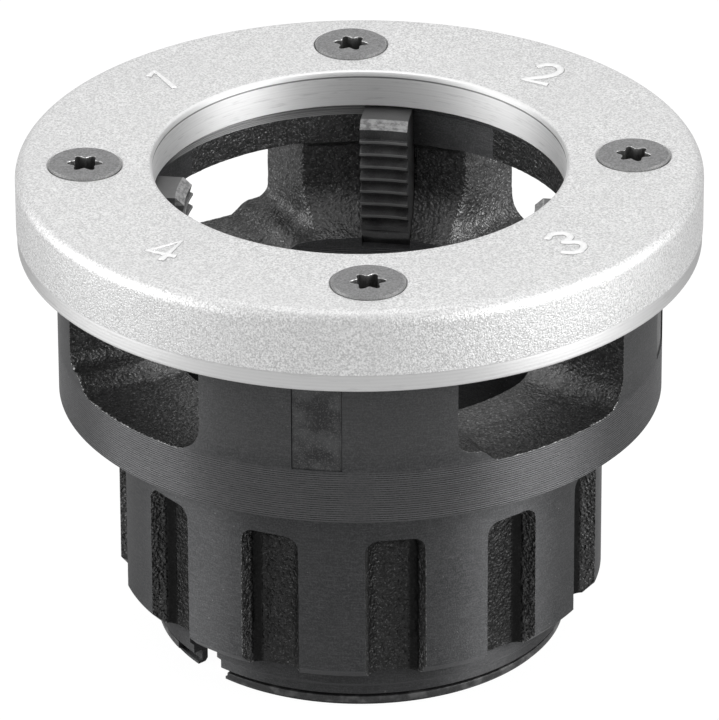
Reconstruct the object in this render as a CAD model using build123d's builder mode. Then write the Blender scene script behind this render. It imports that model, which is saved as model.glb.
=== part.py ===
from build123d import *
import math
import os

os.makedirs("parts", exist_ok=True)

# Pipe threading die head, millimetres. The pipe runs along Z and enters from below.
# Z = 0 is the lower end of the collar, and angles are counted about Z from the X axis.

# Thread that the head cuts: 55 degree form, tapered 1 in 16 on the diameter
thread_pitch = 25.4 / 11
thread_form_angle = 55.0
thread_taper = 1 / 16
thread_crest_radius = 28.3

# Heights of the body, from the lower end of the collar
rib_base_height = 7.8
pocket_top_height = 33.8
shoulder_height = 42.2
window_floor_height = 50.9
slot_floor_height = 51.5
bore_top_height = 53.0
body_height = 76.4
rim_height = 7.35

# Radii of the body
bore_radius = 31.3
rim_radius = 35.5
pillar_inner_radius = 37.4
collar_radius = 35.1
rib_radius = 39.95
body_radius = 49.6
rib_chamfer = 2.0
shoulder_chamfer = 0.4
bore_chamfer = 0.5
rim_chamfer = 1.0

# Cast hollow between the bore and the pillars
hollow_foot_width = 2.6
hollow_foot_rise = 1.2
hollow_side_share = 1 / 3
rim_underside_rise = 1.6
hollow_fillet = 2.2

# Collar end: a step, the groove of the snap ring, a thin lip and a notch
collar_step = 0.85
collar_land_height = 1.5
lip_radius = 33.3
lip_height = 0.5
groove_height = 1.9
groove_floor_radius = 32.5
notch_angle = -137.9
notch_width = 6.7
notch_height = 7.0

# Pockets between the drive ribs
rib_count = 12
rib_angle = -6.9
rib_width = 11.2
pocket_depth = 3.8
pocket_draft = 17.0
pocket_corner_radius = 3.0
pocket_floor_fillet = 0.8

# Chip windows between the pillars, each with a cast bench along one pillar's foot
station_count = 4
pillar_angle = -6.5
window_width = 34.4
window_draft = 9.5
window_corner_radius = 5.0
bench_width = 4.2
bench_height = 2.3
bench_slope = 2.4
bench_wall_width = 1.6
bench_wall_rise = 1.4
bench_fillet = 0.5

# Chasers and their slots
chaser_angle = -8.1
chaser_thickness = 7.95
chaser_end_gap = 0.25
chaser_top_clearance = 0.1
slot_clearance = 0.1
first_crest_drop = 4.15
land_gap = 1.45
entry_bevel_height = 6.0
entry_bevel_radius = 32.6

# Cover
cover_bore_radius = 33.7
cover_plate = 6.2
skirt_depth = 7.45
skirt_clearance = 0.2
skirt_wall = 6.2
cover_fillet = 4.2
cover_bore_fillet = 0.8
skirt_edge_fillet = 0.5
turned_band_height = 2.9
turned_band_step = 0.15

# Cover screws
screw_angle = 1.7
screw_inset = 5.0
screw_head_radius = 6.0
screw_head_rim = 0.55
screw_head_rise = 0.35
screw_rim_fillet = 0.3
screw_neck_radius = 3.0
screw_thread_radius = 2.68
screw_length = 20.0
screw_fit = 0.1
tapped_hole_clearance = 1.5
recess_radius = 2.8
recess_lobes = 6
recess_scallop_radius = 1.0
recess_scallop_bite = 0.82
recess_depth = 2.6
recess_turns = (14.0, 49.0, 27.0, 3.0)

# Snap ring
ring_height = 1.2
ring_outer_radius = 33.85
ring_fit = 0.05
ring_edge = 0.15
ring_gap_angle = 22.5
ring_gap_centre = -141.8

# How far a cutting shape runs past the face that it opens
overrun = 2.0

# Values that follow from the sizes above
cover_radius = body_radius + skirt_clearance + skirt_wall
screw_circle_radius = body_radius - screw_inset
rim_base_height = body_height - rim_height
cover_top = body_height + cover_plate
skirt_base = body_height - skirt_depth
slot_width = chaser_thickness + 2 * slot_clearance
slot_depth = body_height - slot_floor_height
chaser_top = body_height - chaser_top_clearance
tooth_count = int((slot_depth - first_crest_drop) / thread_pitch)
window_angle = pillar_angle + 180 / station_count


def radial_plane(angle):
    """The upright plane through the Z axis at an angle: its x runs outwards and its y upwards."""
    turn = math.radians(angle)
    return Plane(
        origin=(0, 0, 0),
        x_dir=(math.cos(turn), math.sin(turn), 0),
        z_dir=(math.sin(turn), -math.cos(turn), 0),
    )


def turned_level(angle, height):
    """A level plane whose x runs outwards at an angle."""
    turn = math.radians(angle)
    return Plane(
        origin=(0, 0, height),
        x_dir=(math.cos(turn), math.sin(turn), 0),
        z_dir=(0, 0, 1),
    )


# Void of one chip window, along the X axis. Its walls draw together towards the bore.
window_slope = math.tan(math.radians(window_draft))
window_edge_x = math.sqrt(body_radius**2 - (window_width / 2) ** 2)
window_outer_x = body_radius + overrun
window_inner_x = bore_radius / 2
window_outer_half = window_width / 2 + (window_outer_x - window_edge_x) * window_slope
window_inner_half = window_width / 2 - (window_edge_x - window_inner_x) * window_slope
bench_plane = Plane(
    origin=(window_inner_x, -window_inner_half, window_floor_height),
    x_dir=(window_slope, 1, 0),
    z_dir=(1, -window_slope, 0),
)

with BuildPart() as window_void:
    with BuildSketch(Plane.XY.offset(window_floor_height)):
        with BuildLine():
            Polyline(
                (window_inner_x, -window_inner_half),
                (window_outer_x, -window_outer_half),
                (window_outer_x, window_outer_half),
                (window_inner_x, window_inner_half),
                close=True,
            )
        make_face()
    extrude(amount=rim_base_height - window_floor_height)
    floor_face = window_void.faces().sort_by(Axis.Z)[0]
    far_side = floor_face.edges().filter_by(Axis.Y, reverse=True).sort_by(Axis.Y)[-1]
    fillet(far_side, radius=window_corner_radius)
    with BuildSketch(bench_plane):
        with BuildLine():
            bench_top = FilletPolyline(
                (-overrun, bench_height + bench_wall_rise),
                (0, bench_height + bench_wall_rise),
                (bench_wall_width, bench_height),
                (bench_width, bench_height),
                (bench_width + bench_slope, 0),
                (bench_width + bench_slope, -overrun),
                radius=bench_fillet,
            )
            Polyline(bench_top @ 1, (-overrun, -overrun), bench_top @ 0)
        make_face()
    extrude(amount=window_outer_x, mode=Mode.SUBTRACT)

# Void of one pocket between two drive ribs, along the X axis, with drafted walls
pocket_slope = math.tan(math.radians(pocket_draft))
pocket_start = overrun / 2
half_rib_turn = math.asin(rib_width / 2 / rib_radius)
half_pocket = rib_radius * math.sin(math.pi / rib_count - half_rib_turn) + pocket_start * pocket_slope
pocket_mouth_top = pocket_top_height + pocket_start * pocket_slope
pocket_plane = Plane(origin=(rib_radius + pocket_start, 0, 0), x_dir=(0, -1, 0), z_dir=(-1, 0, 0))

with BuildPart() as pocket_void:
    with BuildSketch(pocket_plane) as pocket_outline:
        with BuildLine():
            Polyline(
                (-half_pocket, 0),
                (half_pocket, 0),
                (half_pocket, pocket_mouth_top),
                (-half_pocket, pocket_mouth_top),
                close=True,
            )
        make_face()
        fillet(pocket_outline.vertices().group_by(Axis.Z)[-1], radius=pocket_corner_radius)
    extrude(amount=pocket_start + pocket_depth, taper=pocket_draft)
    pocket_floor = pocket_void.faces().sort_by(Axis.X)[0]
    fillet(pocket_floor.edges(), radius=pocket_floor_fillet)

# Body: turned outside and in, then pierced by windows, slots, pockets, screw holes and notch
collar_land_radius = collar_radius - collar_step
groove_top = lip_height + groove_height
collar_land_top = groove_top + collar_land_height
hollow_foot_radius = bore_radius + hollow_foot_width
hollow_foot_height = bore_top_height + hollow_foot_rise
hollow_side_height = slot_floor_height + slot_depth * hollow_side_share
tapped_depth = screw_length - cover_plate + tapped_hole_clearance

with BuildPart() as body:
    with BuildSketch(Plane.XZ):
        with BuildLine():
            Polyline(
                (bore_radius + bore_chamfer, 0),
                (lip_radius, 0),
                (lip_radius, lip_height),
                (groove_floor_radius, lip_height),
                (groove_floor_radius, groove_top),
                (collar_land_radius, groove_top),
                (collar_land_radius, collar_land_top),
                (collar_radius, collar_land_top + collar_step),
                (collar_radius, rib_base_height),
                (rib_radius - rib_chamfer, rib_base_height),
                (rib_radius, rib_base_height + rib_chamfer),
                (rib_radius, shoulder_height),
                (body_radius - shoulder_chamfer, shoulder_height),
                (body_radius, shoulder_height + shoulder_chamfer),
                (body_radius, body_height),
                (rim_radius + rim_chamfer, body_height),
                (rim_radius, body_height - rim_chamfer),
                (rim_radius, bore_top_height),
                (bore_radius, bore_top_height),
                (bore_radius, bore_chamfer),
                close=True,
            )
        make_face()
    revolve(axis=Axis.Z)
    with BuildSketch(Plane.XZ):
        with BuildLine():
            hollow_side = FilletPolyline(
                (bore_radius - overrun, bore_top_height),
                (bore_radius, bore_top_height),
                (hollow_foot_radius, hollow_foot_height),
                (pillar_inner_radius, hollow_side_height),
                (pillar_inner_radius, rim_base_height - rim_underside_rise),
                (rim_radius, rim_base_height),
                (rim_radius, rim_base_height + overrun),
                radius=[0.3, hollow_fillet, hollow_fillet, 0.6, 0.3],
            )
            Polyline(hollow_side @ 1, (bore_radius - overrun, rim_base_height + overrun), hollow_side @ 0)
        make_face()
    revolve(axis=Axis.Z, mode=Mode.SUBTRACT)
    with PolarLocations(0, station_count, start_angle=window_angle):
        add(window_void.part, mode=Mode.SUBTRACT)
    with BuildSketch(turned_level(chaser_angle, slot_floor_height)):
        with PolarLocations((bore_radius + body_radius) / 2, station_count):
            Rectangle(body_radius - bore_radius + 2 * overrun, slot_width)
    extrude(amount=slot_depth, mode=Mode.SUBTRACT)
    with PolarLocations(0, rib_count, start_angle=rib_angle + 180 / rib_count):
        add(pocket_void.part, mode=Mode.SUBTRACT)
    with BuildSketch(turned_level(screw_angle, body_height)):
        with PolarLocations(screw_circle_radius, station_count):
            Circle(screw_thread_radius + screw_fit / 2)
    extrude(amount=-tapped_depth, mode=Mode.SUBTRACT)
    with BuildSketch(turned_level(notch_angle, 0)):
        with Locations(((groove_floor_radius + collar_radius) / 2, 0)):
            Rectangle(collar_radius - bore_radius + 2 * overrun, notch_width)
    extrude(amount=notch_height, mode=Mode.SUBTRACT)
body.part.label = "body"
export_step(body.part, "parts/body.step")

# Cover: a plate with a skirt round the top of the body
screw_top = cover_top + screw_head_rise
cone_top = screw_top - screw_head_rim
sink_radius = screw_head_radius + cover_top - cone_top + screw_fit
skirt_inner_radius = body_radius + skirt_clearance
band_radius = cover_radius - turned_band_step
band_top = skirt_base + turned_band_height

with BuildPart() as cover:
    with BuildSketch(Plane.XZ):
        with BuildLine():
            Polyline(
                (cover_bore_radius, body_height),
                (skirt_inner_radius, body_height),
                (skirt_inner_radius, skirt_base),
                (band_radius, skirt_base),
                (band_radius, band_top),
                (cover_radius, band_top + turned_band_step),
                (cover_radius, cover_top),
                (cover_bore_radius, cover_top),
                close=True,
            )
        make_face()
    revolve(axis=Axis.Z)
    top_rims = cover.faces().sort_by(Axis.Z)[-1].edges().sort_by(SortBy.RADIUS)
    fillet(top_rims[-1], radius=cover_fillet)
    top_bore = cover.faces().filter_by(Axis.Z).sort_by(Axis.Z)[-1].edges().sort_by(SortBy.RADIUS)[0]
    fillet(top_bore, radius=cover_bore_fillet)
    skirt_rim = cover.faces().filter_by(Axis.Z).sort_by(Axis.Z)[0].edges().sort_by(SortBy.RADIUS)[-1]
    fillet(skirt_rim, radius=skirt_edge_fillet)
    with Locations(turned_level(screw_angle, cover_top)):
        with PolarLocations(screw_circle_radius, station_count):
            CounterSinkHole(
                radius=screw_neck_radius + screw_fit,
                counter_sink_radius=sink_radius,
                depth=cover_plate + overrun,
                counter_sink_angle=90,
            )
cover.part.label = "cover"
export_step(cover.part, "parts/cover.step")


def tooth_outline(crest_height):
    """Inner side of one tooth, from its lower root to its upper root, as (radius, height) points."""
    flat = thread_pitch / 6
    depth = (thread_pitch / 2 - flat) / math.tan(math.radians(thread_form_angle / 2))
    crest = thread_crest_radius + (chaser_top - crest_height) * thread_taper / 2
    return [
        (crest + depth, crest_height - (thread_pitch - flat) / 2),
        (crest, crest_height - flat / 2),
        (crest, crest_height + flat / 2),
        (crest + depth, crest_height + (thread_pitch - flat) / 2),
    ]


def make_chaser(number):
    """One chaser in its slot. Its teeth climb by a share of the pitch from one slot to the next."""
    angle = chaser_angle + (number - 1) * 360 / station_count
    climb = thread_pitch * ((number - 2) / station_count)
    first_crest = chaser_top - first_crest_drop + climb
    outline = []
    for tooth in reversed(range(tooth_count)):
        outline += tooth_outline(first_crest - tooth * thread_pitch)
    land_base = first_crest + land_gap
    outer = body_radius - chaser_end_gap
    relief_radius = outline[0][0]
    with BuildPart() as chaser:
        with BuildSketch(radial_plane(angle)):
            with BuildLine():
                Polyline(
                    (relief_radius, slot_floor_height),
                    *outline,
                    (thread_crest_radius, land_base),
                    (thread_crest_radius, chaser_top),
                    (outer, chaser_top),
                    (outer, slot_floor_height),
                    close=True,
                )
            make_face()
            with BuildLine():
                Polyline(
                    (thread_crest_radius - overrun, slot_floor_height),
                    (entry_bevel_radius, slot_floor_height),
                    (thread_crest_radius, slot_floor_height + entry_bevel_height),
                    (thread_crest_radius - overrun, slot_floor_height + entry_bevel_height),
                    close=True,
                )
            make_face(mode=Mode.SUBTRACT)
        revolve(axis=Axis.Z)
        with BuildSketch(turned_level(angle, slot_floor_height)):
            with Locations((body_radius / 2, 0)):
                Rectangle(body_radius, chaser_thickness)
        extrude(amount=slot_depth, mode=Mode.INTERSECT)
    chaser.part.label = f"chaser_{number}"
    export_step(chaser.part, f"parts/chaser_{number}.step")


for chaser_number in range(1, station_count + 1):
    make_chaser(chaser_number)


# Cover screw: a countersunk head that stands a little proud, and a shank as thick as the thread's middle
cone_base = cone_top - (screw_head_radius - screw_neck_radius)
scallop_circle_radius = recess_radius + recess_scallop_radius - recess_scallop_bite

with BuildPart() as cover_screws:
    for screw_number, recess_turn in enumerate(recess_turns):
        place = screw_angle + screw_number * 360 / len(recess_turns)
        seat = turned_level(place, 0)
        centre = seat.origin + seat.x_dir * screw_circle_radius
        with BuildSketch(Plane(origin=centre, x_dir=seat.x_dir, z_dir=-seat.y_dir)):
            with BuildLine():
                Polyline(
                    (0, cover_top - screw_length),
                    (screw_thread_radius, cover_top - screw_length),
                    (screw_thread_radius, cone_base - screw_neck_radius + screw_thread_radius),
                    (screw_neck_radius, cone_base),
                    (screw_head_radius, cone_top),
                    (screw_head_radius, screw_top - screw_rim_fillet),
                    (screw_head_radius - screw_rim_fillet, screw_top),
                    (0, screw_top),
                    close=True,
                )
            make_face()
        revolve(axis=Axis(centre, (0, 0, 1)))
        with BuildSketch(Plane(origin=centre + Vector(0, 0, screw_top), x_dir=seat.x_dir, z_dir=(0, 0, 1))):
            Circle(recess_radius)
            with PolarLocations(scallop_circle_radius, recess_lobes, start_angle=recess_turn):
                Circle(recess_scallop_radius, mode=Mode.SUBTRACT)
        extrude(amount=-recess_depth, mode=Mode.SUBTRACT)
cover_screws.part.label = "cover_screws"
export_step(cover_screws.part, "parts/cover_screws.step")

# Snap ring, resting on the lip of the collar's groove, open across the notch
with BuildPart() as snap_ring:
    with BuildSketch(radial_plane(ring_gap_centre + ring_gap_angle / 2)) as ring_section:
        with BuildLine():
            Polyline(
                (groove_floor_radius + ring_fit, lip_height),
                (ring_outer_radius, lip_height),
                (ring_outer_radius, lip_height + ring_height),
                (groove_floor_radius + ring_fit, lip_height + ring_height),
                close=True,
            )
        make_face()
        chamfer(ring_section.vertices(), length=ring_edge)
    revolve(axis=Axis.Z, revolution_arc=360 - ring_gap_angle)
snap_ring.part.label = "snap_ring"
export_step(snap_ring.part, "parts/snap_ring.step")
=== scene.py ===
import math

import bmesh
import bpy
from mathutils import Matrix, Vector, noise


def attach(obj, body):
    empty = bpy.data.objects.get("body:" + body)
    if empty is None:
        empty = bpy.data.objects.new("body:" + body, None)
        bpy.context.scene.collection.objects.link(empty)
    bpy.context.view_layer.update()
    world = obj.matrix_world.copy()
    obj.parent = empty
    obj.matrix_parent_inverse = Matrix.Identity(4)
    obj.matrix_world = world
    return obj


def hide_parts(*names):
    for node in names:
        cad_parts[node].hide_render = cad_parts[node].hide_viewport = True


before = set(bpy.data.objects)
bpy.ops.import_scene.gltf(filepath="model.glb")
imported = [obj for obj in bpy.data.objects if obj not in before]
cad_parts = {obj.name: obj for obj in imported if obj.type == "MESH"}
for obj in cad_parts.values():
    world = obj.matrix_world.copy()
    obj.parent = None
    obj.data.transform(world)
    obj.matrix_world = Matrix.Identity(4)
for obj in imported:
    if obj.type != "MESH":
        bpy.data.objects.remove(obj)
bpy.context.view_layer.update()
print("frame loaded with", len(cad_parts), "nodes")

mm = 0.001


# Shapes: sections are drawn as (radius, height) in mm and spun about the pipe axis

def turnBy(angle):
    return Matrix.Rotation(math.radians(angle), 4, "Z")


def drawSection(points):
    bm = bmesh.new()
    corners = [bm.verts.new((radius * mm, 0, height * mm)) for radius, height in points]
    bm.faces.new(corners)
    return bm, corners


def bevel(bm, geom, radius, segments, affect, **extra):
    bmesh.ops.bevel(bm, geom=geom, offset=radius * mm, offset_type="OFFSET", segments=segments,
                    profile=0.5, affect=affect, material=-1, **extra)


def roundCorner(bm, corner, radius, segments=4):
    bevel(bm, [corner], radius, segments, "VERTICES")


def closeUp(bm):
    openEdges = [edge for edge in bm.edges if len(edge.link_faces) == 1]
    if openEdges:
        bmesh.ops.holes_fill(bm, edges=openEdges, sides=0)
    bmesh.ops.recalc_face_normals(bm, faces=bm.faces)


def spinSection(bm, steps, sweep=360.0):
    onAxis = [edge for edge in bm.edges if all(abs(vert.co.x) < 1e-9 for vert in edge.verts)]
    bmesh.ops.delete(bm, geom=bm.faces[:], context="FACES_ONLY")
    bmesh.ops.delete(bm, geom=onAxis, context="EDGES_FACES")
    bmesh.ops.spin(bm, geom=bm.verts[:] + bm.edges[:], cent=(0, 0, 0), axis=(0, 0, 1),
                   angle=math.radians(sweep), steps=steps, use_merge=sweep == 360)
    bmesh.ops.remove_doubles(bm, verts=bm.verts, dist=1e-7)
    closeUp(bm)


def addBox(bm, low, high):
    made = bmesh.ops.create_cube(bm, size=1.0)["verts"]
    size = [(b - a) * mm for a, b in zip(low, high)]
    middle = [(a + b) / 2 * mm for a, b in zip(low, high)]
    bmesh.ops.scale(bm, verts=made, vec=size)
    bmesh.ops.translate(bm, verts=made, vec=middle)


def sliceOff(bm, point, facing):
    bmesh.ops.bisect_plane(bm, geom=bm.verts[:] + bm.edges[:] + bm.faces[:], dist=1e-7,
                           plane_co=point, plane_no=facing, clear_outer=True)
    closeUp(bm)


def copyRound(bm, count):
    bmesh.ops.spin(bm, geom=bm.verts[:] + bm.edges[:] + bm.faces[:], cent=(0, 0, 0), axis=(0, 0, 1),
                   angle=math.radians(360 - 360 / count), steps=count - 1, use_duplicate=True)


def addCopy(bm, other, matrix):
    placed = other.copy()
    placed.transform(matrix)
    mesh = bpy.data.meshes.new("placed")
    placed.to_mesh(mesh)
    placed.free()
    bm.from_mesh(mesh)
    bpy.data.meshes.remove(mesh)


def linkObject(name, data):
    item = bpy.data.objects.new(name, data)
    bpy.context.scene.collection.objects.link(item)
    return item


def makeObject(name, bm, finishes):
    mesh = bpy.data.meshes.new(name)
    bm.to_mesh(mesh)
    bm.free()
    for finish in finishes:
        mesh.materials.append(finish)
    return linkObject(name, mesh)


def evaluatedMesh(item):
    bpy.context.view_layer.update()
    return bpy.data.meshes.new_from_object(item.evaluated_get(bpy.context.evaluated_depsgraph_get()))


def takeResult(work, *others):
    mesh = evaluatedMesh(work)
    bm = bmesh.new()
    bm.from_mesh(mesh)
    bpy.data.meshes.remove(mesh)
    for used in (work, *others):
        spent = used.data
        bpy.data.objects.remove(used)
        bpy.data.meshes.remove(spent)
    return bm


def carve(bm, cutter, finishes, operation="DIFFERENCE"):
    block = makeObject("work", bm, finishes)
    tool = makeObject("work", cutter, finishes)
    cut = block.modifiers.new("cut", "BOOLEAN")
    cut.operation = operation
    cut.solver = "MANIFOLD"
    cut.object = tool
    return takeResult(block, tool)


def addLumps(verts, lumps):
    # each kind of lump has a size and a height in mm
    for vert in verts:
        push = sum(height * noise.noise(vert.co / (size * mm)) for size, height in lumps)
        vert.co += vert.normal * push * mm


def castSkin(bm, voxel, smoothing, lumps, finishes, finishIndex):
    # an even net of small faces, softened corners, then the lumps that the sand leaves
    work = makeObject("work", bm, finishes)
    net = work.modifiers.new("net", "REMESH")
    net.mode = "VOXEL"
    net.voxel_size = voxel * mm
    bm = takeResult(work)
    for step in range(smoothing):
        bmesh.ops.smooth_vert(bm, verts=bm.verts, factor=0.5,
                              use_axis_x=True, use_axis_y=True, use_axis_z=True)
    bm.normal_update()
    addLumps(bm.verts, lumps)
    for face in bm.faces:
        face.material_index = finishIndex
    return bm


def radiusAndHeight(face):
    centre = face.calc_center_median()
    return math.hypot(centre.x, centre.y) / mm, centre.z / mm


def finishPiece(name, bm, finishes, nodes, smoothAngle=32.0):
    bm.normal_update()
    piece = makeObject(name, bm, finishes)
    piece.data.shade_smooth()
    piece.data.set_sharp_from_angle(angle=math.radians(smoothAngle))
    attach(piece, "root")
    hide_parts(*nodes)
    print(name, "faces", len(piece.data.polygons))


# Finishes: colours and roughness come from nodes, and positions on a piece are given in mm

noiseSpan = (0.3, 0.7)


def newFinish(name, colour, metallic, roughness, specularTint=1.0):
    finish = bpy.data.materials.new(name)
    finish.use_nodes = True
    tree = finish.node_tree
    shader = tree.nodes["Principled BSDF"]
    shader.inputs["Base Color"].default_value = (*colour, 1)
    shader.inputs["Metallic"].default_value = metallic
    shader.inputs["Roughness"].default_value = roughness
    shader.inputs["Specular Tint"].default_value = (specularTint, specularTint, specularTint, 1)
    return finish, tree, shader


def addNode(tree, kind, inputs=None, **settings):
    node = tree.nodes.new("ShaderNode" + kind)
    for key, value in settings.items():
        setattr(node, key, value)
    for key, value in (inputs or {}).items():
        if isinstance(value, bpy.types.NodeSocket):
            tree.links.new(value, node.inputs[key])
        else:
            node.inputs[key].default_value = value
    return node


def calc(tree, operation, *values):
    return addNode(tree, "Math", dict(enumerate(values)), operation=operation).outputs[0]


def product(tree, first, *others):
    for other in others:
        first = calc(tree, "MULTIPLY", first, other)
    return first


def vectorCalc(tree, operation, *values):
    return addNode(tree, "VectorMath", dict(enumerate(values)), operation=operation).outputs[0]


def spread(tree, value, span, low=0.0, high=1.0):
    # low where the value stands at the first end of the span, high at the other, and smooth between
    inputs = {"Value": value, "From Min": span[0], "From Max": span[1], "To Min": low, "To Max": high}
    return addNode(tree, "MapRange", inputs, interpolation_type="SMOOTHSTEP").outputs["Result"]


def zone(tree, position, span, low=0.0, high=1.0):
    # the same for a height or a radius, with the span in mm
    return spread(tree, position, (span[0] * mm, span[1] * mm), low, high)


def grain(tree, place, size, detail=1.0, roughness=0.5, stretch=None):
    # noise whose blobs are about size mm across
    if stretch:
        place = addNode(tree, "Mapping", {"Vector": place, "Scale": stretch}).outputs["Vector"]
    inputs = {"Vector": place, "Scale": 1 / (size * mm), "Detail": detail, "Roughness": roughness}
    return addNode(tree, "TexNoise", inputs).outputs["Fac"]


def grainAlong(tree, rings, scale, detail):
    inputs = {"W": rings, "Scale": scale, "Detail": detail}
    return addNode(tree, "TexNoise", inputs, noise_dimensions="1D").outputs["Fac"]


def grey(level):
    return (level, level, level)


def blendColours(tree, amount, first, second):
    node = addNode(tree, "Mix", data_type="RGBA", blend_type="MIX")
    for key, value in (("Factor", amount), ("A", first), ("B", second)):
        socket = next(s for s in node.inputs if s.name == key and s.enabled)
        if isinstance(value, bpy.types.NodeSocket):
            tree.links.new(value, socket)
        else:
            socket.default_value = (*(value if isinstance(value, tuple) else grey(value)), 1)
    return next(s for s in node.outputs if s.enabled)


def layerUp(tree, colour, *layers):
    # each layer is laid over those before it: where it lies, how strong it is, and its colour or grey
    for amount, strength, shade in layers:
        colour = blendColours(tree, calc(tree, "MULTIPLY", amount, strength), colour, shade)
    return colour


def bumpUp(tree, shader, height, depth):
    # depth is the height of the bump in mm
    inputs = {"Height": height, "Distance": depth * mm, "Strength": 1.0}
    tree.links.new(addNode(tree, "Bump", inputs).outputs["Normal"], shader.inputs["Normal"])


def polar(tree):
    # position on the object, then distance from the pipe axis, angle and height, in metres and radians
    place = addNode(tree, "TexCoord").outputs["Object"]
    parts = addNode(tree, "SeparateXYZ", {0: place})
    x, y, height = (parts.outputs[key] for key in ("X", "Y", "Z"))
    radius = calc(tree, "SQRT", calc(tree, "ADD", product(tree, x, x), product(tree, y, y)))
    angle = calc(tree, "ARCTAN2", y, x)
    return place, radius, angle, height


def turningLines(tree, radius, height, pitch):
    # tool marks run round the axis: this counts them up a wall, and outwards on a flat face
    return product(tree, calc(tree, "ADD", height, radius), 1 / (pitch * mm))


def lightAcross(tree, shader, place, amount):
    # fine grooves run round the axis, so they throw the light across themselves
    around = vectorCalc(tree, "CROSS_PRODUCT", (0, 0, 1), place)
    facing = addNode(tree, "NewGeometry").outputs["Normal"]
    across = vectorCalc(tree, "CROSS_PRODUCT", facing, around)
    tree.links.new(vectorCalc(tree, "NORMALIZE", across), shader.inputs["Tangent"])
    shader.inputs["Anisotropic"].default_value = amount


def showFinish(tree, shader, colour, roughness, relief, depth):
    tree.links.new(colour, shader.inputs["Base Color"])
    tree.links.new(roughness, shader.inputs["Roughness"])
    bumpUp(tree, shader, relief, depth)


# Body

turnedFace, castFace, milledFace = range(3)

bodySizes = {
    "boreRadius": 31.3, "rimRadius": 35.5, "pillarInnerRadius": 37.4, "collarRadius": 35.1,
    "ribRadius": 39.95, "bodyRadius": 49.6,
    "ribBase": 7.8, "pocketTop": 33.8, "shoulder": 42.2, "windowFloor": 50.9, "slotFloor": 51.5,
    "boreTop": 53.0, "rimBase": 69.05, "bodyTop": 76.4,
    "ribChamfer": 2.0, "shoulderChamfer": 0.4, "boreChamfer": 0.5, "rimChamfer": 1.0,
    "hollowFoot": (33.9, 54.2), "hollowSide": 59.8, "hollowFillet": 2.2, "hollowSteps": 144,
    "rimUnderside": 67.45, "shellStep": 66.0,
    "lipRadius": 33.3, "lipHeight": 0.5, "grooveRadius": 32.5, "grooveTop": 2.4,
    "landRadius": 34.25, "landTop": 3.9, "collarStepTop": 4.75,
    # the small roundings of the turned outline, by the number of their corner in it
    "outlineFillets": ((5, 0.12), (6, 0.1), (11, 0.25), (14, 0.2)),
    "notchAngle": -137.9, "notchWidth": 6.7, "notchHeight": 7.0, "notchBase": -3.0,
    "ribCount": 12, "ribAngle": -6.9, "pocketHalfWidth": 5.1, "pocketDepth": 3.8, "pocketDraft": 17.0,
    "pocketCornerRadius": 2.6, "pocketFloorFillet": 1.9, "pocketStart": 1.0,
    "windowAngle": 38.5, "windowWidth": 34.4, "windowDraft": 9.5, "windowCornerRadius": 5.0,
    "bench": ((0.0, 3.7), (1.6, 2.3), (4.2, 2.3), (6.6, 0.0)),
    "slotAngle": -8.1, "slotWidth": 8.15,
    "screwAngle": 1.7, "screwCircle": 44.6,
    "screwHoleRadius": 2.73, "screwHoleFloor": 61.1, "screwHoleCone": 1.4,
    # cutters start inside the bore and run past the walls
    "hollowStart": 24.0, "slotStart": 28.0, "past": 2.0, "rimPast": 1.0, "rimPastInset": 1.5,
    "steps": 288, "rimWallCuts": 20,
    "windowNet": 0.5, "windowSmoothing": 12, "pocketNet": 0.4, "pocketSmoothing": 1,
    "lumps": ((1.6, 0.05), (0.8, 0.07)),
    # the rim's step, and where its inner wall is left as cast: angles round each window, then the height
    # that the cast wall ends at over one stretch of the rim
    "rimStep": 0.22, "rimStepDrop": 1.5, "rimCastAngles": (-41.0, 12.5),
    "rimCastTop": 74.0, "rimCastTopAngles": (84, 150),
}


def isCastRim(s, face):
    centre = face.calc_center_median()
    radius, height = radiusAndHeight(face)
    turn = math.degrees(math.atan2(centre.y, centre.x))
    fromWindow = (turn - s["windowAngle"] + 45) % 90 - 45
    lowFrom, lowTo = s["rimCastTopAngles"]
    castTop = s["rimCastTop"] if lowFrom < turn < lowTo else s["bodyTop"] - s["rimStepDrop"]
    castFrom, castTo = s["rimCastAngles"]
    onWall = abs(radius - s["rimRadius"]) < 0.05
    return onWall and castFrom < fromWindow < castTo and s["boreTop"] < height < castTop


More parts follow.
